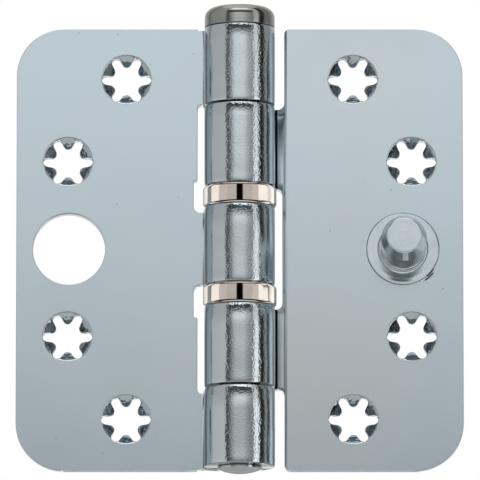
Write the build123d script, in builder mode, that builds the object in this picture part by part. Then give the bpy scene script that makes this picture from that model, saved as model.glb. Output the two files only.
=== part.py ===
import os
from math import acos, atan2, cos, degrees, hypot, pi, radians, sin

from build123d import *

# Ball bearing butt hinge, open flat, sizes in millimetres.
# The origin is on the pin's axis at mid height. +Z runs up the pin, +X to the right leaf,
# and the knuckles stand out towards -Y.

# Leaves
sheet = 3.0  # thickness of both leaves
leaf_height = 89.0
open_width = 89.0  # over both leaves, lying flat
closed_gap = 5.0  # between the two leaves, folded shut
corner_radius = 9.5  # the outer corners
inner_corner_radius = 1.0  # the right leaf's end corners beside the knuckles

# Knuckles, rolled from the sheet round the pin
pin_diameter = 8.0
pin_clearance = 0.05  # each side, between the pin and the rolled bore
bend_radius = 1.0  # inside of the bend between leaf and knuckle
left_bend_margin = 0.35  # from the side of the knuckle to where the flat of the leaf ends
right_bend_margin = 2.35
left_lip_gap = 0.2  # between the rolled lip and its own leaf
right_lip_gap = 0.5
middle_knuckle = 15.6
between_knuckle = 16.0
running_gap = 0.4  # between two knuckles with no bearing
end_relief = 0.3  # the end knuckles stop this far inside the leaf's ends

# Cut-outs beside the other leaf's knuckles
left_cut_clearance = 1.35  # from the side of the knuckle
bearing_cut_clearance = 1.85  # from the side of the bearing
bearing_cut_margin = 1.6  # how far that wider part goes past the bearing
right_cut_clearance = 1.85
middle_cut_clearance = 1.45  # the right leaf beside the middle knuckle
cut_corner_radius = 1.3
cut_step_radius = 0.35
relief_depth = 0.5  # the left cut-outs go this far past the knuckles' ends
relief_margin = 0.15  # from the side of the knuckle to that deeper part
relief_corner_radius = 0.7

# Pin
head_rim = 3.0  # how far the head stands out round the pin
head_height = 4.15
head_edge_radius = 2.0
head_crown = 0.3  # rise of the domed top
tail_rim = 0.45  # the lower end, riveted over, stands out this far
tail_band = 0.5
tail_crown = 0.95
pin_seat_chamfer = 0.15  # on the edges of head and tail, next to the knuckles

# Screw holes, countersunk, with slots that leave round-ended tabs
near_screw_inset = 21.9  # from the leaf's outer edge to the pair nearest the pin
near_screw_end = 10.2  # from the leaf's ends
far_screw_inset = 10.25
far_screw_end = 26.85
screw_hole_diameter = 5.6  # over the tips of the tabs
pilot_hole_diameter = 5.0  # bored with the countersink, before the slots
countersink_diameter = 9.8
countersink_angle = 90.0
slot_count = 6
slot_width = 1.85
slot_overrun = 0.07  # how far the slots go past the countersink

# Security peg, and the hole that it enters as the hinge shuts
peg_inset = 12.0  # from the leaf's outer edge
peg_hole_shift = 1.5  # the hole lies further out, because the peg comes in on an arc
peg_hole_diameter = 14.4  # the same in both leaves
peg_fit = 0.03  # each side, between the collar and its hole
peg_collar_rise = 0.15  # how far the collar stands out of the leaf
peg_collar_radius = 0.12  # of its edge
peg_shank_diameter = 9.0
peg_root_radius = 0.6
peg_length = 16.5  # from the face of the leaf
peg_taper_length = 3.9
peg_tip_diameter = 7.0
peg_tip_radius = 0.3  # of its edge

# Bearings
bearing_height = 4.4
race_bore_clearance = 0.15  # each side of the pin
race_width = 2.15  # of the top race, from its bore to its rim
race_gap = 1.8  # between the two races
race_seat_gap = 0.05  # each side, between the bottom race and the shell
shell_wall = 0.45
shell_lip = 0.425  # how far the shell's rim turns in over the race
shell_lip_gap = 0.15  # each side, between that lip and the top race
shell_rim_gap = 0.15  # between the shell's rim and the knuckle above
shell_edge_radius = 0.8
shell_inner_chamfer = 0.3  # inside corners, followed by the bottom race
ball_diameter = 2.38
ball_clearance = 0.04  # between a ball and its grooves
ball_spacing = 0.1  # least free room between two balls

# Places worked out from those sizes
pin_radius = pin_diameter / 2
bore_radius = pin_radius + pin_clearance
knuckle_radius = bore_radius + sheet
leaf_front = closed_gap / 2
leaf_back = leaf_front + sheet
half_height = leaf_height / 2
half_width = open_width / 2
middle_end = middle_knuckle / 2
bearing_end = middle_end + bearing_height
between_end = bearing_end + between_knuckle
end_start = between_end + running_gap
stack_end = half_height - end_relief
race_bore = pin_radius + race_bore_clearance
race_rim = race_bore + race_width
shell_mouth = race_rim + shell_lip_gap
shell_inside = shell_mouth + shell_lip
shell_radius = shell_inside + shell_wall
race_height = (bearing_height - shell_wall - race_gap) / 2
ball_radius = ball_diameter / 2
ball_circle = race_bore + race_width / 2
ball_count = int(2 * pi * ball_circle / (ball_diameter + ball_spacing))
left_cut_x = knuckle_radius + left_cut_clearance
bearing_cut_x = shell_radius + bearing_cut_clearance
relief_x = knuckle_radius + relief_margin
right_cut_x = knuckle_radius + right_cut_clearance
middle_cut_x = knuckle_radius + middle_cut_clearance
roll_side = knuckle_radius + sheet  # clear of the rolled side of a knuckle
peg_x = half_width - peg_inset
peg_hole_x = peg_x + peg_hole_shift
screw_places = [
    (half_width - near_screw_inset, half_height - near_screw_end),
    (half_width - near_screw_inset, near_screw_end - half_height),
    (half_width - far_screw_inset, half_height - far_screw_end),
    (half_width - far_screw_inset, far_screw_end - half_height),
]
front_plane = Plane.XZ.offset(-leaf_front)

os.makedirs("parts", exist_ok=True)


# Section of a leaf seen along the pin: the flat, the bend behind it and the roll round the pin
def rolled_section(side, bend_x, lip_gap):
    bend_y = leaf_back + bend_radius
    front_bend_radius = bend_radius + sheet
    slope = atan2(bend_x, bend_y) - acos((bore_radius + front_bend_radius) / hypot(bend_x, bend_y))
    roll_start = 90 - degrees(slope)
    lip_end = 360 + roll_start - degrees(acos((bore_radius - lip_gap) / knuckle_radius))
    roll_middle = (roll_start + lip_end) / 2

    def on_roll(radius, angle):
        return (side * radius * cos(radians(angle)), radius * sin(radians(angle)))

    def on_bend(radius, share):
        return (
            side * (bend_x - radius * sin(slope * share)),
            bend_y - radius * cos(slope * share),
        )

    def roll_arc(radius):
        return [on_roll(radius, angle) for angle in (roll_start, roll_middle, lip_end)]

    def bend_arc(radius):
        return [on_bend(radius, share) for share in (0, 0.5, 1)]

    with BuildSketch(Plane.XY.offset(-half_height)) as section:
        with BuildLine():
            front_bend = ThreePointArc(*bend_arc(front_bend_radius))
            bore = ThreePointArc(*roll_arc(bore_radius))
            outside = ThreePointArc(*roll_arc(knuckle_radius))
            back_bend = ThreePointArc(*bend_arc(bend_radius))
            Line(front_bend @ 1, bore @ 0)
            Line(bore @ 1, outside @ 1)
            Line(outside @ 0, back_bend @ 1)
            Polyline(
                back_bend @ 0,
                (side * half_width, leaf_back),
                (side * half_width, leaf_front),
                front_bend @ 0,
            )
        make_face()
    return section.sketch


# Outlines of one leaf's screw holes, with slots between the tabs
def star_holes(places):
    slot_reach = countersink_diameter / 2 + slot_overrun
    half_slot = sin(pi / slot_count)
    # the radius of a full round at the end of a tab
    tab_tip_radius = (screw_hole_diameter * half_slot - slot_width) / 2 / (1 - half_slot)

    def is_tab_corner(vertex):
        reach = min(hypot(vertex.X - x, vertex.Y - z) for x, z in places)
        return reach < screw_hole_diameter / 2

    with BuildSketch(front_plane) as stars:
        with Locations(*places):
            for turn in range(slot_count // 2):
                SlotCenterToCenter(
                    2 * slot_reach - slot_width, slot_width, rotation=turn * 360 / slot_count
                )
        fillet(stars.vertices().filter_by(is_tab_corner), tab_tip_radius)
    return stars.sketch


# Left leaf: three knuckles, with cut-outs for the other leaf's two, and the hole for the peg
left_screws = [(-x, z) for x, z in screw_places]
with BuildPart() as left_leaf:
    add(rolled_section(-1, knuckle_radius + left_bend_margin, left_lip_gap))
    extrude(amount=leaf_height)
    fillet(left_leaf.edges().filter_by(Axis.Y).group_by(Axis.X)[0], corner_radius)
    for up in (1, -1):
        wide_end = bearing_end + bearing_cut_margin
        with BuildSketch(Plane.XZ):
            with BuildLine():
                cut_edge = FilletPolyline(
                    (-relief_x, up * (middle_end - relief_depth)),
                    (-bearing_cut_x, up * (middle_end - relief_depth)),
                    (-bearing_cut_x, up * wide_end),
                    (-left_cut_x, up * wide_end),
                    (-left_cut_x, up * (end_start + relief_depth)),
                    (-relief_x, up * (end_start + relief_depth)),
                    radius=[
                        cut_corner_radius,
                        cut_step_radius,
                        cut_step_radius,
                        relief_corner_radius,
                    ],
                )
                Polyline(
                    cut_edge @ 1,
                    (-relief_x, up * end_start),
                    (roll_side, up * end_start),
                    (roll_side, up * middle_end),
                    (-relief_x, up * middle_end),
                    cut_edge @ 0,
                )
            make_face()
            with Locations((0, up * (stack_end + half_height) / 2)):
                Rectangle(2 * left_cut_x, end_relief)
        extrude(amount=half_width, both=True, mode=Mode.SUBTRACT)
    extrude(star_holes(left_screws), amount=half_width, both=True, mode=Mode.SUBTRACT)
    with Locations(front_plane):
        with Locations(*left_screws):
            CounterSinkHole(
                pilot_hole_diameter / 2,
                countersink_diameter / 2,
                counter_sink_angle=countersink_angle,
            )
        with Locations((-peg_hole_x, 0)):
            Hole(peg_hole_diameter / 2)
left_leaf.part.label = "left_leaf"
export_step(left_leaf.part, "parts/left_leaf.step")

# Right leaf: two knuckles, with its edge set back beside the other leaf's three
with BuildPart() as right_leaf:
    add(rolled_section(1, knuckle_radius + right_bend_margin, right_lip_gap))
    extrude(amount=leaf_height)
    fillet(right_leaf.edges().filter_by(Axis.Y).group_by(Axis.X)[-1], corner_radius)
    with BuildSketch(Plane.XZ):
        with BuildLine():
            middle_edge = FilletPolyline(
                (-roll_side, bearing_end),
                (middle_cut_x, bearing_end),
                (middle_cut_x, -bearing_end),
                (-roll_side, -bearing_end),
                radius=cut_corner_radius,
            )
            Line(middle_edge @ 1, middle_edge @ 0)
        make_face()
        for up in (1, -1):
            with BuildLine():
                end_edge = FilletPolyline(
                    (-roll_side, up * between_end),
                    (right_cut_x, up * between_end),
                    (right_cut_x, up * leaf_height),
                    (-roll_side, up * leaf_height),
                    radius=cut_corner_radius,
                )
                Line(end_edge @ 1, end_edge @ 0)
            make_face()
    extrude(amount=half_width, both=True, mode=Mode.SUBTRACT)
    end_corners = right_leaf.edges().filter_by(Axis.Y).filter_by_position(Axis.X, 0, right_cut_x)
    fillet(end_corners.group_by(Axis.Z)[0] + end_corners.group_by(Axis.Z)[-1], inner_corner_radius)
    extrude(star_holes(screw_places), amount=half_width, both=True, mode=Mode.SUBTRACT)
    with Locations(front_plane):
        with Locations(*screw_places):
            CounterSinkHole(
                pilot_hole_diameter / 2,
                countersink_diameter / 2,
                counter_sink_angle=countersink_angle,
            )
        with Locations((peg_x, 0)):
            Hole(peg_hole_diameter / 2)
right_leaf.part.label = "right_leaf"
export_step(right_leaf.part, "parts/right_leaf.step")

# Hinge pin, with a domed head on the top knuckle and its lower end riveted over
head_radius = pin_radius + head_rim
head_top = stack_end + head_height
crown_radius = (head_radius**2 + head_crown**2) / (2 * head_crown)
tail_radius = pin_radius + tail_rim
tail_edge = -stack_end - tail_band
tail_bottom = tail_edge - tail_crown
tail_crown_radius = (tail_radius**2 + tail_crown**2) / (2 * tail_crown)
with BuildPart() as hinge_pin:
    with BuildSketch(Plane.XZ):
        with BuildLine():
            RadiusArc((tail_radius, tail_edge), (0, tail_bottom), tail_crown_radius)
            Polyline(
                (tail_radius, tail_edge),
                (tail_radius, -stack_end - pin_seat_chamfer),
                (tail_radius - pin_seat_chamfer, -stack_end),
                (pin_radius, -stack_end),
                (pin_radius, stack_end),
                (head_radius - pin_seat_chamfer, stack_end),
                (head_radius, stack_end + pin_seat_chamfer),
                (head_radius, head_top - head_crown),
            )
            RadiusArc((0, head_top), (head_radius, head_top - head_crown), crown_radius)
            Line((0, head_top), (0, tail_bottom))
        make_face()
    revolve(axis=Axis.Z)
    rings = hinge_pin.edges().filter_by(lambda edge: edge.is_closed).sort_by(Axis.Z)
    fillet(rings[-1], head_edge_radius)
hinge_pin.part.label = "hinge_pin"
export_step(hinge_pin.part, "parts/hinge_pin.step")

# Security peg, turned in one piece, with its collar staked flush in the right leaf
collar_radius = peg_hole_diameter / 2 - peg_fit
shank_side = peg_x + peg_shank_diameter / 2
collar_face = leaf_front - peg_collar_rise
peg_tip = leaf_front - peg_length
with BuildPart() as security_peg:
    with BuildSketch(Plane.XY):
        with BuildLine():
            peg_root = RadiusArc(
                (shank_side + peg_root_radius, collar_face),
                (shank_side, collar_face - peg_root_radius),
                peg_root_radius,
            )
            Polyline(
                peg_root @ 1,
                (shank_side, peg_tip + peg_taper_length),
                (peg_x + peg_tip_diameter / 2, peg_tip),
                (peg_x, peg_tip),
                (peg_x, leaf_back),
                (peg_x + collar_radius, leaf_back),
                (peg_x + collar_radius, collar_face),
                peg_root @ 0,
            )
        make_face()
    revolve(axis=Axis((peg_x, 0, 0), (0, 1, 0)))
    peg_rings = security_peg.edges().filter_by(GeomType.CIRCLE).filter_by(lambda edge: edge.is_closed)
    collar_rim = peg_rings.filter_by_position(Axis.Y, collar_face, leaf_front).sort_by(SortBy.RADIUS)[-1]
    tip_rim = peg_rings.sort_by(Axis.Y)[0]
    fillet(collar_rim, peg_collar_radius)
    fillet(tip_rim, peg_tip_radius)
security_peg.part.label = "security_peg"
export_step(security_peg.part, "parts/security_peg.step")

# Bearings: a drawn shell holds the bottom race, and the top race turns on a ring of loose balls
for bearing, seat in (("upper", middle_end), ("lower", -bearing_end)):
    top = seat + bearing_height
    shell_height = bearing_height - shell_rim_gap
    ball_level = seat + shell_wall + race_height + race_gap / 2
    groove_radius = ball_radius + ball_clearance

    with BuildPart() as shell:
        floor = seat + shell_wall
        ceiling = seat + shell_height - shell_wall
        with BuildSketch(Plane.XZ):
            with Locations((0, seat + shell_height / 2)):
                RectangleRounded(2 * shell_radius, shell_height, shell_edge_radius)
            with BuildLine():
                Polyline(
                    (0, floor),
                    (shell_inside - shell_inner_chamfer, floor),
                    (shell_inside, floor + shell_inner_chamfer),
                    (shell_inside, ceiling - shell_inner_chamfer),
                    (shell_inside - shell_inner_chamfer, ceiling),
                    (0, ceiling),
                    close=True,
                )
            make_face(mode=Mode.SUBTRACT)
            with Locations((0, top)):
                Rectangle(2 * shell_mouth, bearing_height, mode=Mode.SUBTRACT)
            with Locations((0, seat)):
                Rectangle(2 * race_bore, bearing_height, mode=Mode.SUBTRACT)
            split(bisect_by=Plane.YZ)
        revolve(axis=Axis.Z)
    shell.part.label = f"{bearing}_bearing_shell"
    export_step(shell.part, f"parts/{shell.part.label}.step")

    with BuildPart() as bottom_race:
        with BuildSketch(Plane.XZ):
            rim = shell_inside - race_seat_gap
            with Locations(((race_bore + rim) / 2, seat + shell_wall + race_height / 2)):
                Rectangle(rim - race_bore, race_height)
            with Locations((ball_circle, ball_level)):
                Circle(groove_radius, mode=Mode.SUBTRACT)
        revolve(axis=Axis.Z)
        seat_rings = bottom_race.edges().filter_by(lambda edge: edge.is_closed).group_by(Axis.Z)[0]
        chamfer(seat_rings.sort_by(SortBy.RADIUS)[-1], shell_inner_chamfer)
    bottom_race.part.label = f"{bearing}_bottom_race"
    export_step(bottom_race.part, f"parts/{bottom_race.part.label}.step")

    with BuildPart() as top_race:
        with BuildSketch(Plane.XZ):
            with Locations((ball_circle, top - race_height / 2)):
                Rectangle(race_width, race_height)
            with Locations((ball_circle, ball_level)):
                Circle(groove_radius, mode=Mode.SUBTRACT)
        revolve(axis=Axis.Z)
    top_race.part.label = f"{bearing}_top_race"
    export_step(top_race.part, f"parts/{top_race.part.label}.step")

    for number in range(ball_count):
        turn = 2 * pi * number / ball_count
        with BuildPart() as ball:
            with Locations((ball_circle * cos(turn), ball_circle * sin(turn), ball_level)):
                Sphere(ball_radius)
        ball.part.label = f"{bearing}_ball_{number + 1:02d}"
        export_step(ball.part, f"parts/{ball.part.label}.step")
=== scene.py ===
import math

import bmesh
import bpy
from mathutils import Matrix, Vector


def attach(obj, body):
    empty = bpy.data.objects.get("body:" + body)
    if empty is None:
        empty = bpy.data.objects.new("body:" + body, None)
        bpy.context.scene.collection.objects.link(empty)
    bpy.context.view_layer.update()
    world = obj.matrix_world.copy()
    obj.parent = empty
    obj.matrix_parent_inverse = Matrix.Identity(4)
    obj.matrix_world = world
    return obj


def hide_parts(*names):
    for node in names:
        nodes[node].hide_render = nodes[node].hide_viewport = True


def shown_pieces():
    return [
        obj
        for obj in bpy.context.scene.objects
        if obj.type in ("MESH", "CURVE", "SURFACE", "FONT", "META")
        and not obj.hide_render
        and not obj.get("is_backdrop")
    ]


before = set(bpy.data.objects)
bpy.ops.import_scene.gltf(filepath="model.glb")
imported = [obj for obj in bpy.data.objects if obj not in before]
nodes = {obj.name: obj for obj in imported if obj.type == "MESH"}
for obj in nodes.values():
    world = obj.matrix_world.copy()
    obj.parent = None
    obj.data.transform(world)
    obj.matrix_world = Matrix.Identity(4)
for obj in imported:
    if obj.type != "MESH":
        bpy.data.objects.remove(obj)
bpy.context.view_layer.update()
scene = bpy.context.scene
mm = 0.001
print("frame loaded:", len(nodes), "CAD nodes")

# sizes that shapes and finishes share
leafFront = 2.5 * mm
pegAxis = 32.5 * mm
screwPlaces = [(22.6 * mm, 34.3 * mm), (34.25 * mm, 17.65 * mm)]  # across and up, alike in all four corners

# node settings that come back
multiply = {"operation": "MULTIPLY"}
maximum = {"operation": "MAXIMUM"}
absolute = {"operation": "ABSOLUTE"}
distance = {"operation": "DISTANCE"}
smooth = {"interpolation_type": "SMOOTHSTEP"}
colourMix = {"data_type": "RGBA"}
noiseBand = (0.3, 0.7)  # nearly all of a noise pattern lies between these values


def toLinear(hexColour):
    parts = [int(hexColour[i:i + 2], 16) / 255 for i in (1, 3, 5)]
    return tuple(c / 12.92 if c <= 0.04045 else ((c + 0.055) / 1.055) ** 2.4 for c in parts) + (1.0,)


def addNode(tree, kind, settings=None, values=None, links=None):
    node = tree.nodes.new("ShaderNode" + kind)
    for name, value in (settings or {}).items():
        setattr(node, name, value)
    if isinstance(values, list):  # a list fills the sockets after the first
        values = dict(enumerate(values, 1))
    for socket, value in (values or {}).items():
        node.inputs[socket].default_value = value
    for socket, source in (links or {}).items():
        if isinstance(source, bpy.types.Node):  # a node stands for its first output that is in use
            source = next(output for output in source.outputs if output.enabled)
        tree.links.new(source, node.inputs[socket])
    return node


def newMaterial(name):
    material = bpy.data.materials.new(name)
    material.use_nodes = True
    material.node_tree.nodes.clear()
    return material, material.node_tree


def dress(piece, material):
    piece.data.materials.clear()
    piece.data.materials.append(material)


# two tones of one metal, mixed by a pattern
def mottle(tree, pattern, s):
    tones = addNode(tree, "ValToRGB", links={0: pattern})
    for element, position, tone in zip(tones.color_ramp.elements, noiseBand, ("deep", "pale")):
        element.position = position
        element.color = toLinear(s[tone])
    return tones


# an amount by the angle round the pin, in degrees from the front
def aroundPin(tree, axes, amounts):
    front = addNode(tree, "Math", multiply, {1: -1.0}, {0: axes.outputs["Y"]})
    angle = addNode(tree, "Math", {"operation": "ARCTAN2"}, links={0: axes.outputs["X"], 1: front})
    turn = addNode(tree, "MapRange", values=[-math.pi, math.pi], links={0: angle})
    ramp = addNode(tree, "ValToRGB", links={0: turn})
    for degrees, amount in amounts[1:-1]:
        ramp.color_ramp.elements.new((degrees + 180) / 360)
    for element, (degrees, amount) in zip(ramp.color_ramp.elements, amounts):
        element.color = (amount, amount, amount, 1.0)
    return ramp


def finishMetal(tree, colour, roughness, relief=None):
    metal = addNode(tree, "BsdfPrincipled", values={"Metallic": 1.0},
                    links={"Base Color": colour, "Roughness": roughness})
    if relief:
        tree.links.new(relief.outputs[0], metal.inputs["Normal"])
    addNode(tree, "OutputMaterial", links={"Surface": metal})


# zinc-plated rolled steel sheet: satin, a little blue and softly clouded, burnished where it is rolled round
# the pin, and darker where it is cut; the folds beside the knuckles get painted shade
zincSheet = {
    "pale": "#c5d3da",
    "deep": "#bdcbd2",
    "cloudSize": 17 * mm,
    "cloudDetail": 3.0,
    "cloudGain": 0.55,
    # faint warm patches in the plating: place across and up, radius and strength
    "stains": [(15 * mm, -26 * mm, 32 * mm, 1.0), (24 * mm, 34 * mm, 22 * mm, 0.7),
               (21 * mm, 6 * mm, 15 * mm, 0.45), (-16 * mm, -20 * mm, 32 * mm, 0.3)],
    "stainColour": "#c7ccce",
    "stainBand": (0.35, 0.6),  # the clouds thin the patches between these values, down to the least share
    "stainLeast": 0.6,
    "pitSpacing": 4.5 * mm,  # a few pits in the plating
    "pitRadius": (0.06 * mm, 0.2 * mm),
    "pitStrength": 0.8,
    "pitColour": "#7b868d",
    "sheetRoughness": 0.2,
    "roughnessSpread": 0.03,
    "grainSize": 0.5 * mm,  # true grain is near 0.05 mm, coarse here so that it shows
    "grainDepth": 0.0012 * mm,
    "grainDetail": 2.0,
    "rollRadius": (7.3 * mm, 8.2 * mm),  # the burnish fades out between these distances from the pin's axis
    "rollColour": "#bdc6ca",
    "rollRoughness": 0.12,
    "rollGrainSize": 0.31 * mm,  # coarser than the true grain too
    "rollGrainDepth": 0.034 * mm,
    "rollGrainStretch": 1.2,  # drawn out along the pin
    # share of that grain by the angle round the pin, and at the knuckles' upper ends
    "grainZones": [(-180, 0.25), (-27, 0.12), (-22, 0.8), (-17, 1.0), (-9, 0.3), (10, 0.3), (18, 0.8),
                   (24, 1.0), (36, 1.0), (55, 0.3), (180, 0.25)],
    "endGrain": 1.3,
    "rollWaveSize": 5 * mm,  # slight unevenness left by the rolling tool
    "rollWaveDepth": 0.12 * mm,
    # the rolling leaves a knuckle slightly smaller at its upper end and wider at its lower end:
    # levels of the ends, length from there, and depth
    "upperCrowns": [((28.2 * mm, 44.2 * mm), 3.0 * mm, 0.24 * mm),
                    ((-12.2 * mm, 7.8 * mm), 4.5 * mm, 0.44 * mm),
                    ((-28.6 * mm,), 4.8 * mm, 0.62 * mm)],
    "lowerFlare": ((-44.2 * mm, -28.2 * mm, -7.8 * mm, 12.2 * mm, 28.6 * mm), 3.0 * mm, 0.055 * mm),
    "endCurve": 2.0,
    "endSlack": 0.2 * mm,  # half the gap to the next knuckle
    # painted shade, nearly black: the folds beside the knuckles, the gaps between them, and the end under
    # the pin's head
    "paintedShadeColour": "#15181a",
    "foldInner": (7.07 * mm, 7.1 * mm),
    "foldOuter": (7.18 * mm, 7.4 * mm),
    "foldFront": (0.3 * mm, 1.2 * mm),
    "rightFoldExtra": 0.75 * mm,  # the right leaf's fold is wider
    "gapLevel": 28.4 * mm,
    "gapHalf": (0.215 * mm, 0.26 * mm),
    "seamLevel": (44.0 * mm, 44.05 * mm),
    "bareLevel": (-44.03 * mm, -44.08 * mm),  # the lowest knuckle end is bare sheared steel
    "bareColour": "#939b9f",
    # punched and countersunk metal: between the two faces of the sheet, but not in the bends beside
    # the knuckles
    "cutFront": (2.56 * mm, 2.62 * mm),
    "cutBack": (5.47 * mm, 5.498 * mm),
    "cutFrom": (10.0 * mm, 10.3 * mm),
    "cutColour": "#a2adb3",
    "cutRoughness": 0.13,
    "chatterSize": 1.0 * mm,  # marks that the countersinking tool leaves in the screw holes
    "chatterDepth": 0.1 * mm,
    "chatterDetail": 1.0,
    "chatterReach": (5.0 * mm, 5.2 * mm),
}


# 1 at each of these ends, fading along the knuckle: along is -1 below an upper end, 1 above a lower end
def nearEnds(tree, up, ends, length, along, s):
    nearest = None
    for end in ends:
        away = addNode(tree, "Math", {"operation": "MULTIPLY_ADD"}, {1: along, 2: -along * end}, {0: up})
        share = addNode(tree, "MapRange", values=[0.0, length, 1.0, 0.0], links={0: away})
        there = addNode(tree, "Math", {"operation": "GREATER_THAN"}, {1: -s["endSlack"]}, {0: away})
        share = addNode(tree, "Math", multiply, links={0: share, 1: there})
        if nearest:
            share = addNode(tree, "Math", maximum, links={0: nearest, 1: share})
        nearest = share
    return addNode(tree, "Math", {"operation": "POWER"}, {1: s["endCurve"]}, {0: nearest})


# where the sheet is rolled, painted with shade, cut, bare or countersunk, each from 0 to 1
def zincShares(tree, axes, s):
    across, depth, up = axes.outputs
    level = addNode(tree, "CombineXYZ", links={0: across, 1: depth})
    reach = addNode(tree, "VectorMath", {"operation": "LENGTH"}, links={0: level})
    rolled = addNode(tree, "MapRange", smooth, [*s["rollRadius"], 1.0, 0.0], {0: reach})

    onRight = addNode(tree, "Math", {"operation": "GREATER_THAN"}, {1: 0.0}, {0: across})
    nearer = addNode(tree, "Math", {"operation": "MULTIPLY_ADD"}, {1: -s["rightFoldExtra"]},
                     {0: onRight, 2: reach})
    # painted shade in the crease where each leaf folds into its knuckles
    fold = addNode(tree, "MapRange", smooth, [*s["foldInner"]], {0: reach})
    foldOuter = addNode(tree, "MapRange", smooth, [*s["foldOuter"], 1.0, 0.0], {0: nearer})
    foldDeep = addNode(tree, "MapRange", smooth, [*s["foldFront"]], {0: depth})
    for share in (foldOuter, foldDeep):
        fold = addNode(tree, "Math", multiply, links={0: fold, 1: share})

    # painted shade in the gaps between the knuckles and in the seam under the pin's head
    height = addNode(tree, "Math", absolute, links={0: up})
    fromGap = addNode(tree, "Math", {"operation": "SUBTRACT"}, {1: s["gapLevel"]}, {0: height})
    fromGap = addNode(tree, "Math", absolute, links={0: fromGap})
    gap = addNode(tree, "MapRange", values=[*s["gapHalf"], 1.0, 0.0], links={0: fromGap})
    seam = addNode(tree, "MapRange", values=[*s["seamLevel"]], links={0: up})
    bare = addNode(tree, "MapRange", values=[*s["bareLevel"]], links={0: up})
    gap, seam, bare = (addNode(tree, "Math", multiply, links={0: share, 1: rolled})
                       for share in (gap, seam, bare))
    # all the painted shade together: folds, gaps and seam
    paintedShade = fold
    for share in (gap, seam):
        paintedShade = addNode(tree, "Math", maximum, links={0: paintedShade, 1: share})

    sideways = addNode(tree, "Math", absolute, links={0: across})
    cut = addNode(tree, "MapRange", values=[*s["cutFront"]], links={0: depth})
    beforeBack = addNode(tree, "MapRange", values=[*s["cutBack"], 1.0, 0.0], links={0: depth})
    besideBend = addNode(tree, "MapRange", values=[*s["cutFrom"]], links={0: sideways})
    for share in (beforeBack, besideBend):
        cut = addNode(tree, "Math", multiply, links={0: cut, 1: share})

    corner = addNode(tree, "CombineXYZ", links={0: sideways, 1: height})
    toHoles = [addNode(tree, "VectorMath", distance, {1: (x, z, 0.0)}, {0: corner}) for x, z in screwPlaces]
    toHole = addNode(tree, "Math", {"operation": "MINIMUM"}, links=dict(enumerate(toHoles)))
    countersunk = addNode(tree, "MapRange", values=[*s["chatterReach"], 1.0, 0.0], links={0: toHole})
    countersunk = addNode(tree, "Math", multiply, links={0: cut, 1: countersunk})
    return {"rolled": rolled, "paintedShade": paintedShade, "cut": cut, "bare": bare, "countersunk": countersunk}


def zincColour(tree, place, axes, cloud, shares, s):
    face = addNode(tree, "CombineXYZ", links={0: axes.outputs["X"], 1: axes.outputs["Z"]})
    stain = addNode(tree, "MapRange", values=[*s["stainBand"], s["stainLeast"], 1.0], links={0: cloud})
    patches = None
    for x, z, radius, strength in s["stains"]:
        away = addNode(tree, "VectorMath", distance, {1: (x, z, 0.0)}, {0: face})
        patch = addNode(tree, "MapRange", smooth, [0.0, radius, strength, 0.0], {0: away})
        if patches:
            patch = addNode(tree, "Math", maximum, links={0: patches, 1: patch})
        patches = patch
    stain = addNode(tree, "Math", multiply, links={0: patches, 1: stain})
    cells = addNode(tree, "TexVoronoi", values={"Scale": 1 / s["pitSpacing"]}, links={"Vector": place})
    pitEnds = [radius / s["pitSpacing"] for radius in s["pitRadius"]]
    pits = addNode(tree, "MapRange", values=[*pitEnds, s["pitStrength"], 0.0], links={0: cells})
    colour = mottle(tree, cloud, s)
    # the last of these mixes paints the shade of the folds, gaps and seam
    for name, share in (("stainColour", stain), ("pitColour", pits), ("rollColour", shares["rolled"]),
                        ("cutColour", shares["cut"]), ("bareColour", shares["bare"]),
                        ("paintedShadeColour", shares["paintedShade"])):
        colour = addNode(tree, "Mix", colourMix, {"B": toLinear(s[name])}, {"Factor": share, "A": colour})
    return colour


def zincRelief(tree, place, axes, shares, s):
    up = axes.outputs["Z"]
    rolled = shares["rolled"]
    grain = addNode(tree, "TexNoise", values={"Scale": 1 / s["grainSize"], "Detail": s["grainDetail"]},
                    links={"Vector": place})
    wave = addNode(tree, "TexNoise", values={"Scale": 1 / s["rollWaveSize"], "Detail": 0.0},
                   links={"Vector": place})
    drawn = addNode(tree, "Mapping", values={"Scale": (1.0, 1.0, 1 / s["rollGrainStretch"])},
                    links={"Vector": place})
    rollGrain = addNode(tree, "TexNoise", values={"Scale": 1 / s["rollGrainSize"], "Detail": 0.0},
                        links={"Vector": drawn})
    chatter = addNode(tree, "TexNoise", values={"Scale": 1 / s["chatterSize"], "Detail": s["chatterDetail"]},
                      links={"Vector": place})
    crowns = [(nearEnds(tree, up, ends, length, -1, s), depth) for ends, length, depth in s["upperCrowns"]]
    ends, length, flareDepth = s["lowerFlare"]
    flare = nearEnds(tree, up, ends, length, 1, s)

    upper = crowns[0][0]
    for crown, depth in crowns[1:]:
        upper = addNode(tree, "Math", maximum, links={0: upper, 1: crown})
    endGrain = addNode(tree, "Math", multiply, {1: s["endGrain"]}, {0: upper})
    zones = aroundPin(tree, axes, s["grainZones"])
    grainShare = addNode(tree, "Math", maximum, links={0: endGrain, 1: zones})
    grainShare = addNode(tree, "Math", multiply, links={0: rolled, 1: grainShare})

    relief = addNode(tree, "Bump", values={"Strength": 1.0, "Distance": s["grainDepth"]},
                     links={"Height": grain})
    # pattern, share, depth, and whether it goes inward
    layers = [(wave, rolled, s["rollWaveDepth"], False)]
    layers += [(crown, rolled, depth, True) for crown, depth in crowns]
    layers += [(flare, rolled, flareDepth, False), (rollGrain, grainShare, s["rollGrainDepth"], False),
               (chatter, shares["countersunk"], s["chatterDepth"], False)]
    for pattern, share, depth, inward in layers:
        relief = addNode(tree, "Bump", {"invert": inward}, {"Distance": depth},
                         {"Height": pattern, "Strength": share, "Normal": relief})
    return relief


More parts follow.
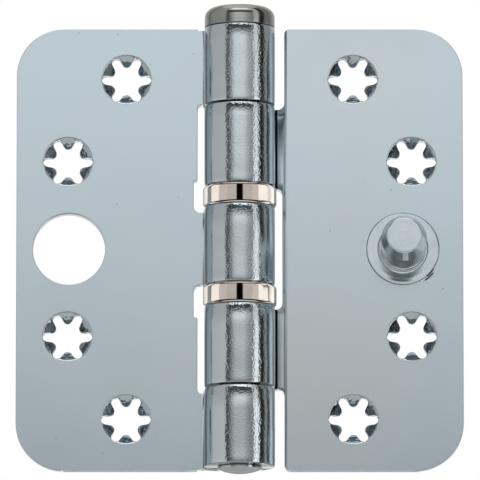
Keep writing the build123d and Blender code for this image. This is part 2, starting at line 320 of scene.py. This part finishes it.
def makeZincSheet(s):
    material, tree = newMaterial("zincPlatedRolledSheet")
    place = addNode(tree, "TexCoord").outputs["Object"]
    axes = addNode(tree, "SeparateXYZ", links={0: place})
    cloud = addNode(tree, "TexNoise", values={"Scale": 1 / s["cloudSize"], "Detail": s["cloudDetail"],
                                              "Roughness": s["cloudGain"]}, links={"Vector": place})
    shares = zincShares(tree, axes, s)
    rough = addNode(tree, "MapRange", values=[0.0, 1.0, s["sheetRoughness"], s["rollRoughness"]],
                    links={0: shares["rolled"]})
    spread = addNode(tree, "MapRange", values=[*noiseBand, -s["roughnessSpread"], s["roughnessSpread"]],
                     links={0: cloud})
    rough = addNode(tree, "Math", {"operation": "ADD"}, links={0: rough, 1: spread})
    rough = addNode(tree, "Mix", values={"B": s["cutRoughness"]}, links={"Factor": shares["cut"], "A": rough})
    finishMetal(tree, zincColour(tree, place, axes, cloud, shares, s), rough,
                zincRelief(tree, place, axes, shares, s))
    return material


# nickel-plated pressed steel: a warm mirror with faint lines round it from polishing on a wheel
nickelShell = {
    "name": "polishedNickelShell",
    "pale": "#d3cac1",
    "deep": "#cbc1b8",
    "cloudSize": 2.5 * mm,
    "cloudDetail": 3.0,
    "roughness": (0.05, 0.1),
    "lineSpacing": 0.35 * mm,  # true lines are finer, coarse here so that they show
    "lineLength": 25 * mm,
    "lineDetail": 2.0,
    "lineDepth": 0.0006 * mm,
}

# plain turned steel pin: dull and dark, with faint turning lines on the head, and bright where its tail
# is riveted
turnedPin = {
    "name": "turnedSteelPin",
    "pale": "#a3a4a1",
    "deep": "#939491",
    "tail": "#c4c7c8",
    "tailLevel": (-44.0 * mm, -44.1 * mm),
    "cloudSize": 3 * mm,
    "cloudDetail": 4.0,
    "roughness": (0.12, 0.2),
    "lineSpacing": 0.3 * mm,
    "lineLength": 16.667 * mm,
    "lineDetail": 2.0,
    "lineDepth": 0.001 * mm,
}


# metal with lines round the pin's axis
def makeLinedMetal(s):
    material, tree = newMaterial(s["name"])
    place = addNode(tree, "TexCoord").outputs["Object"]
    cloud = addNode(tree, "TexNoise", values={"Scale": 1 / s["cloudSize"], "Detail": s["cloudDetail"]},
                    links={"Vector": place})
    colour = mottle(tree, cloud, s)
    if "tail" in s:
        axes = addNode(tree, "SeparateXYZ", links={0: place})
        tail = addNode(tree, "MapRange", values=[*s["tailLevel"]], links={0: axes.outputs["Z"]})
        colour = addNode(tree, "Mix", colourMix, {"B": toLinear(s["tail"])}, {"Factor": tail, "A": colour})
    scales = (1 / s["lineLength"], 1 / s["lineLength"], 1 / s["lineSpacing"])
    turned = addNode(tree, "Mapping", values={"Scale": scales}, links={"Vector": place})
    lines = addNode(tree, "TexNoise", values={"Scale": 1.0, "Detail": s["lineDetail"]},
                    links={"Vector": turned})
    rough = addNode(tree, "MapRange", values=[*noiseBand, *s["roughness"]], links={0: lines})
    relief = addNode(tree, "Bump", values={"Strength": 1.0, "Distance": s["lineDepth"]},
                     links={"Height": lines})
    finishMetal(tree, colour, rough, relief)
    return material


# zinc-plated turned peg: brighter than the sheet, with rings from the lathe tool on its end and its collar
turnedPeg = {
    "name": "zincPlatedTurnedPeg",
    "pale": "#cdd7dc",
    "deep": "#bdc8cd",
    "cloudSize": 4 * mm,
    "cloudDetail": 4.0,
    "roughness": (0.03, 0.12),
    "ringSpacing": 0.55 * mm,
    "ringDetail": 2.0,
    "ringDepth": 0.008 * mm,
}


def makeTurnedPeg(s):
    material, tree = newMaterial(s["name"])
    place = addNode(tree, "TexCoord").outputs["Object"]
    cloud = addNode(tree, "TexNoise", values={"Scale": 1 / s["cloudSize"], "Detail": s["cloudDetail"]},
                    links={"Vector": place})
    centred = addNode(tree, "Mapping", values={"Location": (-pegAxis, 0.0, 0.0)}, links={"Vector": place})
    axes = addNode(tree, "SeparateXYZ", links={0: centred})
    across = addNode(tree, "CombineXYZ", links={0: axes.outputs["X"], 2: axes.outputs["Z"]})
    reach = addNode(tree, "VectorMath", {"operation": "LENGTH"}, links={0: across})
    along = addNode(tree, "CombineXYZ", links={0: reach, 1: axes.outputs["Y"]})
    rings = addNode(tree, "TexNoise", {"noise_dimensions": "2D"},
                    {"Scale": 1 / s["ringSpacing"], "Detail": s["ringDetail"]}, {"Vector": along})
    rough = addNode(tree, "MapRange", values=[*noiseBand, *s["roughness"]], links={0: rings})
    relief = addNode(tree, "Bump", values={"Strength": 1.0, "Distance": s["ringDepth"]},
                     links={"Height": rings})
    finishMetal(tree, mottle(tree, cloud, s), rough, relief)
    return material


# ground and hardened bearing steel: a cool dark mirror with fine grinding marks
groundSteel = {
    "name": "groundBearingSteel",
    "pale": "#b0b2b4",
    "deep": "#a0a3a6",
    "roughness": (0.1, 0.2),
    "markSize": 0.4 * mm,
    "markDetail": 3.0,
}

# bare leaf steel where a punch has broken the plating, dull and smeared; its dark tone is painted shade of
# the punch dents
stakingPaintedShade = {
    "name": "punchedSteelPaintedShade",
    "pale": "#6a7074",
    "deep": "#43484b",
    "roughness": (0.22, 0.32),
    "markSize": 0.5 * mm,
    "markDetail": 3.0,
}


def makeBareSteel(s):
    material, tree = newMaterial(s["name"])
    place = addNode(tree, "TexCoord").outputs["Object"]
    marks = addNode(tree, "TexNoise", values={"Scale": 1 / s["markSize"], "Detail": s["markDetail"]},
                    links={"Vector": place})
    rough = addNode(tree, "MapRange", values=[*noiseBand, *s["roughness"]], links={0: marks})
    finishMetal(tree, mottle(tree, marks, s), rough)
    return material


zincMaterial = makeZincSheet(zincSheet)
nickelMaterial = makeLinedMetal(nickelShell)
pinMaterial = makeLinedMetal(turnedPin)
pegMaterial = makeTurnedPeg(turnedPeg)
bearingMaterial = makeBareSteel(groundSteel)
stakingPaintedShadeMaterial = makeBareSteel(stakingPaintedShade)
print("materials made")

# the leaves: the CAD sheet with the soft edges of a stamping, and knuckle ends that roll over slightly
leafSheet = {
    "weld": 0.001 * mm,
    "flatAngle": 0.4,  # degrees, below which faces are one flat
    "sharpAngle": 35,
    "outlineRound": 0.13 * mm,
    "rimRound": 0.18 * mm,
    "starRound": 0.04 * mm,
    "roundSegments": 2,
    "screwReach": 5.3 * mm,
    "rimRadius": 4.9 * mm,
    "rimSlack": 0.1 * mm,
    "frontSlack": 0.01 * mm,
    "knuckleRadius": 7.05 * mm,
    "knuckleSlack": 0.03 * mm,
    "knuckleMargin": 0.3 * mm,  # faces this near to the knuckles get the loops for the rolled-over ends
    "loopSnap": 0.0005 * mm,
    "endRoll": 1.2 * mm,  # length of the rolled-over end
    "endDrop": 0.06 * mm,
    "endSteps": 4,
    "jointFade": 3 * mm,  # no drop where the knuckle joins the flat
    "flatNormal": 0.99999,
    "flatMargin": 0.5 * mm,
    # knuckle ends: level, and 1 or -1 for the way into the knuckle
    "leftEnds": [(44.2, -1), (28.6, 1), (7.8, -1), (-7.8, 1), (-28.6, -1), (-44.2, 1)],
    "rightEnds": [(28.2, -1), (12.2, 1), (-12.2, -1), (-28.2, 1)],
}


def screwDistance(point):
    return min(math.hypot(abs(point.x) - x, abs(point.z) - z) for x, z in screwPlaces)


def rollEnds(bm, side, ends, s):
    # loops close to each end, then those loops drawn in towards the pin
    for end, inward in ends:
        for step in range(1, s["endSteps"] + 1):
            level = end + inward * s["endRoll"] * step / s["endSteps"]
            near = []
            for face in bm.faces:
                middle = face.calc_center_median()
                if math.hypot(middle.x, middle.y) < s["knuckleRadius"] + s["knuckleMargin"]:
                    near.append(face)
            cut = set(near) | {e for f in near for e in f.edges} | {v for f in near for v in f.verts}
            bmesh.ops.bisect_plane(bm, geom=list(cut), dist=s["loopSnap"], plane_co=(0, 0, level),
                                   plane_no=(0, 0, 1))
    for vert in bm.verts:
        radius = math.hypot(vert.co.x, vert.co.y)
        if abs(radius - s["knuckleRadius"]) > s["knuckleSlack"]:
            continue
        nearest = min(abs(vert.co.z - end) for end, inward in ends)
        share = max(0.0, 1 - nearest / s["endRoll"]) ** 2
        fromJoint = math.hypot(side * vert.co.x - s["knuckleRadius"], vert.co.y - leafFront)
        share *= min(1.0, fromJoint / s["jointFade"])
        factor = 1 - s["endDrop"] * share / radius
        vert.co.x *= factor
        vert.co.y *= factor


def softenEdges(bm, s):
    rounds = {"outlineRound": [], "rimRound": [], "starRound": []}
    for edge in bm.edges:
        if len(edge.link_faces) != 2 or edge.calc_face_angle(0) <= math.radians(s["sharpAngle"]):
            continue
        middle = (edge.verts[0].co + edge.verts[1].co) / 2
        away = screwDistance(middle)
        if away > s["screwReach"]:
            rounds["outlineRound"].append(edge)
        elif abs(middle.y - leafFront) < s["frontSlack"] and abs(away - s["rimRadius"]) < s["rimSlack"]:
            rounds["rimRound"].append(edge)
        else:
            rounds["starRound"].append(edge)
    for size, edges in rounds.items():
        edges = [e for e in edges if e.is_valid]
        bmesh.ops.bevel(bm, geom=edges, offset=s[size], offset_type="OFFSET", segments=s["roundSegments"],
                        profile=0.5, affect="EDGES", material=-1, clamp_overlap=False)


def makeLeaf(name, nodeName, body, side, ends, s):
    bm = bmesh.new()
    bm.from_mesh(nodes[nodeName].data)
    bmesh.ops.remove_doubles(bm, verts=bm.verts[:], dist=s["weld"])
    bmesh.ops.dissolve_limit(bm, angle_limit=math.radians(s["flatAngle"]), verts=bm.verts[:],
                             edges=bm.edges[:])
    rollEnds(bm, side, [(level * mm, inward) for level, inward in ends], s)
    softenEdges(bm, s)
    bmesh.ops.remove_doubles(bm, verts=bm.verts[:], dist=s["weld"])
    bmesh.ops.recalc_face_normals(bm, faces=bm.faces[:])
    for face in bm.faces:
        face.smooth = True
    mesh = bpy.data.meshes.new(name)
    bm.to_mesh(mesh)
    bm.free()
    for layer in [a for a in mesh.attributes if a.name == "custom_normal"]:
        mesh.attributes.remove(layer)
    mesh.set_sharp_from_angle(angle=math.radians(s["sharpAngle"]))
    # flat faces keep one normal right up to their soft edges
    flats = {}
    for face in mesh.polygons:
        beside = abs(face.center.x) > s["knuckleRadius"] + s["flatMargin"]
        square = max(abs(face.normal.x), abs(face.normal.y)) > s["flatNormal"]
        if abs(face.normal.z) > s["flatNormal"] or beside and square:
            flats.update((number, face.normal.copy()) for number in face.vertices)
    normals = [flats.get(number, Vector()) for number in range(len(mesh.vertices))]
    mesh.normals_split_custom_set_from_vertices(normals)
    piece = bpy.data.objects.new(name, mesh)
    scene.collection.objects.link(piece)
    dress(piece, zincMaterial)
    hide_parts(nodeName)
    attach(piece, body)
    print(name, len(mesh.polygons), "faces")


makeLeaf("leftLeafSheet", "left_leaf", "left_side", -1, leafSheet["leftEnds"], leafSheet)
makeLeaf("rightLeafSheet", "right_leaf", "right_side", 1, leafSheet["rightEnds"], leafSheet)

# staking: two short burrs of leaf metal that a punch presses against the edge of the peg's collar
pegStaking = {
    "thickness": 0.17 * mm,
    # distance from the peg's axis, and where the burr starts and stops in degrees below it
    "marks": [(7.3 * mm, 33, 50), (7.72 * mm, 38, 56)],
    "sides": 10,
    "steps": 8,
    "endScale": 0.35,
}


def makeStaking(s):
    mesh = bpy.data.meshes.new("pegStaking")
    bm = bmesh.new()
    axis = Vector((pegAxis, 0, 0))
    for reach, start, stop in s["marks"]:
        ring = bmesh.ops.create_circle(bm, segments=s["sides"], radius=s["thickness"])["verts"]
        bmesh.ops.translate(bm, verts=ring, vec=axis + Vector((reach, leafFront, 0)))
        bmesh.ops.rotate(bm, verts=ring, cent=axis, matrix=Matrix.Rotation(math.radians(start), 3, "Y"))
        edges = list({e for v in ring for e in v.link_edges})
        spun = bmesh.ops.spin(bm, geom=ring + edges, cent=axis, axis=(0, 1, 0),
                              angle=math.radians(stop - start), steps=s["steps"], use_merge=False)
        last = [g for g in spun["geom_last"] if isinstance(g, bmesh.types.BMVert)]
        for end in (ring, last):
            middle = sum((v.co for v in end), Vector()) / len(end)
            for vert in end:
                vert.co = middle + (vert.co - middle) * s["endScale"]
    bmesh.ops.holes_fill(bm, edges=bm.edges[:], sides=s["sides"])
    bmesh.ops.recalc_face_normals(bm, faces=bm.faces[:])
    for face in bm.faces:
        face.smooth = True
    bm.to_mesh(mesh)
    bm.free()
    piece = bpy.data.objects.new("pegStaking", mesh)
    scene.collection.objects.link(piece)
    # the burrs' dark tone is painted shade of the staking dents
    dress(piece, stakingPaintedShadeMaterial)
    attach(piece, "right_side")
    print("pegStaking", len(mesh.polygons), "faces")


makeStaking(pegStaking)

# the pieces whose CAD shape is already right only get their finish
for name, node in nodes.items():
    if "shell" in name:
        dress(node, nickelMaterial)
    elif "race" in name or "ball" in name:
        dress(node, bearingMaterial)
dress(nodes["hinge_pin"], pinMaterial)
dress(nodes["security_peg"], pegMaterial)
print("pieces dressed")

# camera: square on to the leaves, a little below the middle and looking up
shot = {
    "distance": 1.8,
    "elevation": -9.5,
    "frameWidth": 95.6 * mm,  # what the frame takes in at the leaves
    "aim": (0.06 * mm, leafFront, 1.78 * mm),
    "sensorWidth": 36.0,
    "clip": (0.05, 50.0),
}


def makeCamera(s):
    camera = bpy.data.objects.new("shotCamera", bpy.data.cameras.new("shotCamera"))
    scene.collection.objects.link(camera)
    tilt = math.radians(s["elevation"])
    back = Vector((0, -math.cos(tilt), math.sin(tilt)))
    camera.location = Vector(s["aim"]) + back * s["distance"]
    camera.rotation_euler = (-back).to_track_quat("-Z", "Y").to_euler()
    camera.data.sensor_width = s["sensorWidth"]
    camera.data.lens = s["sensorWidth"] * s["distance"] / s["frameWidth"]
    camera.data.clip_start, camera.data.clip_end = s["clip"]
    scene.camera = camera


makeCamera(shot)

# studio: white world, pale floor, and tiers of soft panels round the hinge that only its metal sees
studio = {
    "floorLevel": -1.3,
    "floorSize": 16.0,
    "floorColour": "#f4f4f3",
    "floorRoughness": 0.9,
    "ambient": 1.0,
    "tentRadius": 0.5,
    "tentSegments": 180,
    # panels: azimuth in degrees from the camera's side, then brightness at a tier's foot and at its top;
    # the sides are shared, the front and the rear are each tier's own
    "leftSide": [(-150, 0.7, 0.7), (-125, 0.5, 0.5), (-112, 0.25, 0.25), (-108, 0.75, 0.58),
                 (-46, 0.82, 0.62)],
    "rightSide": [(48, 1.6, 1.0), (64, 1.6, 1.0), (67, 0.03, 0.03), (85, 0.03, 0.03), (90, 0.36, 0.36),
                  (106, 0.4, 0.4), (114, 0.3, 0.3), (128, 0.55, 0.55), (155, 0.7, 0.7)],
    "rearLeft": (-180, -165),
    "rearRight": (170, 180),
    # levels in metres; sides takes the shared panels from their foot, 0, to their top, 1
    "tiers": {
        "rootTier": {"levels": (-0.8, -0.24), "sides": (0, 0), "rear": 0.5,
                     "front": [(-44.5, 0.8, 0.1), (45, 0.8, 0.1)]},
        "footTier": {"levels": (-0.24, -0.105), "sides": (0, 0), "rear": 0.4,
                     "front": [(-44.5, 0.1, 0.1), (-36, 0.7, 0.7), (36, 0.7, 0.7), (45, 0.1, 0.1)]},
        "stepTier": {"levels": (-0.105, -0.05), "sides": (0, 0), "rear": 1.35,
                     "front": [(-44.5, 0.15, 0.15), (45, 0.15, 0.15)]},
        "lowTier": {"levels": (-0.05, -0.012), "sides": (0, 0), "rear": 1.35,
                    "front": [(-44.5, 0.06, 0.06), (-37, 0.06, 0.06), (-26, 0.2, 0.25), (-14, 0.3, 0.46),
                              (12, 0.3, 0.47), (26, 0.2, 0.33), (45, 0.2, 0.22)]},
        "middleTier": {"levels": (-0.012, 0.165), "sides": (0, 1), "rear": 0.8,
                       "front": [(-44.5, 0.06, 0.15), (-37, 0.06, 0.15), (-29, 0.22, 0.54),
                                 (-14, 0.46, 1.18), (12, 0.47, 1.2), (26, 0.33, 0.79), (42, 0.22, 0.5),
                                 (46, 0.22, 0.5)]},
        "archTier": {"levels": (0.165, 0.25), "sides": (1, 1), "rear": 0.8,
                     "front": [(-44.5, 0.15, 0.06), (-37, 0.15, 0.06), (-29, 0.54, 0.06),
                               (-14, 1.18, 0.06), (12, 1.2, 0.06), (26, 0.79, 0.06), (42, 0.5, 0.06),
                               (46, 0.5, 0.06)]},
        "darkTier": {"levels": (0.25, 0.4), "sides": (1, 1), "rear": 0.8,
                     "front": [(-44.5, 0.06, 0.06), (45, 0.06, 0.06)]},
        "highTier": {"levels": (0.4, 0.9), "sides": (1, 1), "rear": 0.8,
                     "front": [(-44, 0.2, 0.2), (-30, 1.6, 2.6), (30, 1.6, 2.6), (46, 1.0, 1.0)]},
    },
    # soft boxes that only the polished bearing shells see: azimuth from and to, and brightness
    "shellBoxes": [(-175, -130, 1.0), (-102, -68, 1.4), (-68, -40, 0.8), (-40, -10, 0.71), (10, 40, 0.72),
                   (40, 61, 0.84), (61, 101, 1.5), (101, 135, 1.0), (135, 155, 0.6)],
    "shellBoxReach": 0.4,
    "shellBoxHeight": 0.5,
    "shellBoxLevel": 0.07,
    # and strips close before the leaves, for the sides of the shells: from and to across, and brightness
    "shellStrips": [(-16 * mm, -9.4 * mm, 1.0), (11 * mm, 40 * mm, 0.95)],
    "stripFront": 2.35 * mm,
    "stripLevels": [(6 * mm, 22 * mm), (-14 * mm, 2 * mm)],
}


def tierPanels(tier, s):
    foot, top = tier["sides"]
    left, right = ([(azimuth, low + (high - low) * foot, low + (high - low) * top)
                    for azimuth, low, high in s[side]] for side in ("leftSide", "rightSide"))
    rearLeft, rearRight = ([(azimuth, tier["rear"], tier["rear"]) for azimuth in s[side]]
                           for side in ("rearLeft", "rearRight"))
    return rearLeft + left + tier["front"] + right + rearRight


def makeTier(name, tier, s):
    low, high = tier["levels"]
    mesh = bpy.data.meshes.new(name)
    bm = bmesh.new()
    ring = bmesh.ops.create_circle(bm, segments=s["tentSegments"], radius=s["tentRadius"])
    bmesh.ops.translate(bm, verts=ring["verts"], vec=(0, 0, low))
    wall = bmesh.ops.extrude_edge_only(bm, edges=bm.edges[:])
    top = [g for g in wall["geom"] if isinstance(g, bmesh.types.BMVert)]
    bmesh.ops.translate(bm, verts=top, vec=(0, 0, high - low))
    bm.to_mesh(mesh)
    bm.free()
    wallObject = bpy.data.objects.new(name, mesh)
    scene.collection.objects.link(wallObject)
    wallObject.visible_camera = False
    wallObject.visible_diffuse = False
    wallObject.visible_shadow = False
    material, tree = newMaterial(name + "Panels")
    axes = addNode(tree, "SeparateXYZ", links={0: addNode(tree, "TexCoord").outputs["Object"]})
    panels = tierPanels(tier, s)
    foot = aroundPin(tree, axes, [(azimuth, atFoot) for azimuth, atFoot, atTop in panels])
    top = aroundPin(tree, axes, [(azimuth, atTop) for azimuth, atFoot, atTop in panels])
    rise = addNode(tree, "MapRange", values=[*tier["levels"]], links={0: axes.outputs["Z"]})
    mixed = addNode(tree, "Mix", colourMix, links={"Factor": rise, "A": foot, "B": top})
    glow = addNode(tree, "Emission", links={"Color": mixed})
    addNode(tree, "OutputMaterial", links={"Surface": glow})
    dress(wallObject, material)
    return wallObject


def makeBox(place, facing, width, height, level, receivers):
    lamp = bpy.data.lights.new("shellBox", "AREA")
    lamp.shape = "RECTANGLE"
    lamp.size = width
    lamp.size_y = height
    lamp.energy = level * math.pi * width * height
    box = bpy.data.objects.new("shellBox", lamp)
    scene.collection.objects.link(box)
    box.location = place
    box.rotation_euler = facing.to_track_quat("-Z", "Y").to_euler()
    box.visible_camera = False
    box.light_linking.receiver_collection = receivers


def makeWorld(s):
    world = bpy.data.worlds.new("whiteWorld")
    scene.world = world
    world.use_nodes = True
    tree = world.node_tree
    tree.nodes.clear()
    path = addNode(tree, "LightPath")
    seen = path.outputs["Is Camera Ray"]
    for name in ("Is Glossy Ray", "Is Transmission Ray"):
        seen = addNode(tree, "Math", maximum, links={0: seen, 1: path.outputs[name]})
    strength = addNode(tree, "MapRange", values=[0.0, 1.0, s["ambient"], 1.0], links={0: seen})
    sky = addNode(tree, "Background", values={"Color": (1, 1, 1, 1)}, links={"Strength": strength})
    addNode(tree, "OutputWorld", links={"Surface": sky})


def makeFloor(s):
    mesh = bpy.data.meshes.new("paleFloor")
    bm = bmesh.new()
    bmesh.ops.create_grid(bm, x_segments=1, y_segments=1, size=s["floorSize"] / 2)
    bmesh.ops.translate(bm, verts=bm.verts[:], vec=(0, 0, s["floorLevel"]))
    bm.to_mesh(mesh)
    bm.free()
    floor = bpy.data.objects.new("paleFloor", mesh)
    scene.collection.objects.link(floor)
    material, tree = newMaterial("paleMattFloor")
    matt = addNode(tree, "BsdfPrincipled",
                   values={"Base Color": toLinear(s["floorColour"]), "Roughness": s["floorRoughness"]})
    addNode(tree, "OutputMaterial", links={"Surface": matt})
    dress(floor, material)
    floor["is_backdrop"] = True


def makeLights(s):
    # the tiers light all the metal but the bearing shells, which have soft boxes of their own
    satinMetal = bpy.data.collections.new("satinMetal")
    polishedMetal = bpy.data.collections.new("polishedMetal")
    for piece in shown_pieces():
        group = polishedMetal if "shell" in piece.name else satinMetal
        group.objects.link(piece)
    for name, tier in s["tiers"].items():
        wall = makeTier(name, tier, s)
        wall.light_linking.receiver_collection = satinMetal
        wall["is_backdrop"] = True
    for start, stop, level in s["shellBoxes"]:
        half = math.radians(stop - start) / 2
        middle = math.radians(start + stop) / 2
        outward = Vector((math.sin(middle), -math.cos(middle), 0))
        makeBox(outward * s["shellBoxReach"] + Vector((0, 0, s["shellBoxLevel"])), -outward,
                2 * s["shellBoxReach"] * math.tan(half), s["shellBoxHeight"], level, polishedMetal)
    for start, stop, level in s["shellStrips"]:
        for low, high in s["stripLevels"]:
            makeBox(Vector(((start + stop) / 2, s["stripFront"], (low + high) / 2)), Vector((0, -1, 0)),
                    stop - start, high - low, level, polishedMetal)


makeWorld(studio)
makeFloor(studio)
makeLights(studio)
scene.view_settings.view_transform = "Standard"
print("studio and camera set")
